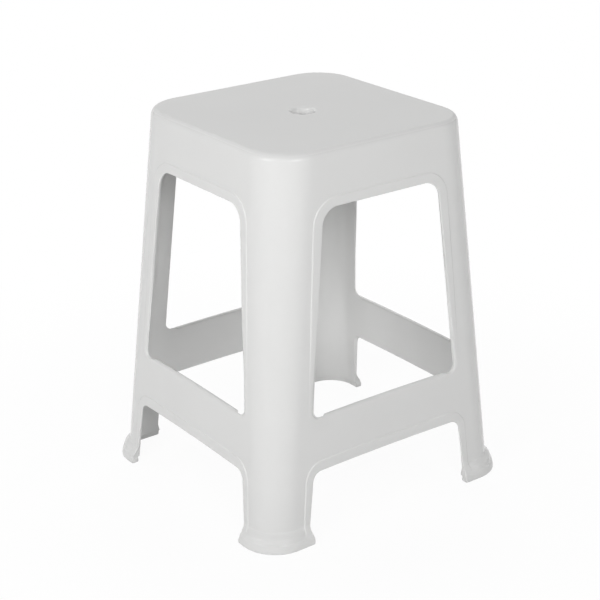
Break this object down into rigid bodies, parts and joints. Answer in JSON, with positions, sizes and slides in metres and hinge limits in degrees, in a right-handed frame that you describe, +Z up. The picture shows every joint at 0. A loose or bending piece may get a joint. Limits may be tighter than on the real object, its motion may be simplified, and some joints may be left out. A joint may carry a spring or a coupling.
{
  "type": "stacking stool",
  "caption": "Square stacking stool moulded in one piece: flat seat with a finger hole, tapered corner legs with flared feet, windowed sides and a stretcher with a rolled edge low on each side.",
  "frame": {"origin": "on the floor under the middle of the stool", "axes": "+Z up, -Y towards the front, +X to the right seen from the front"},
  "size_m": [0.3674, 0.348, 0.45],
  "materials": {
    "moulding": "pale grey polypropylene, satin as it leaves the mould"
  },
  "bodies": {
    "root": {"seat_panel": "moulding", "hole_collar": "moulding", "seat_rib_right": "moulding", "seat_rib_back_right": "moulding", "seat_rib_back": "moulding", "seat_rib_back_left": "moulding", "seat_rib_left": "moulding", "seat_rib_front_left": "moulding", "seat_rib_front": "moulding", "seat_rib_front_right": "moulding", "apron_front": "moulding", "apron_right": "moulding", "apron_back": "moulding", "apron_left": "moulding", "stretcher_front": "moulding", "stretcher_right": "moulding", "stretcher_back": "moulding", "stretcher_left": "moulding", "leg_front_right": "moulding", "leg_back_right": "moulding", "leg_back_left": "moulding", "leg_front_left": "moulding", "foot_front_right": "moulding", "foot_back_right": "moulding", "foot_back_left": "moulding", "foot_front_left": "moulding"}
  },
  "joints": []
}
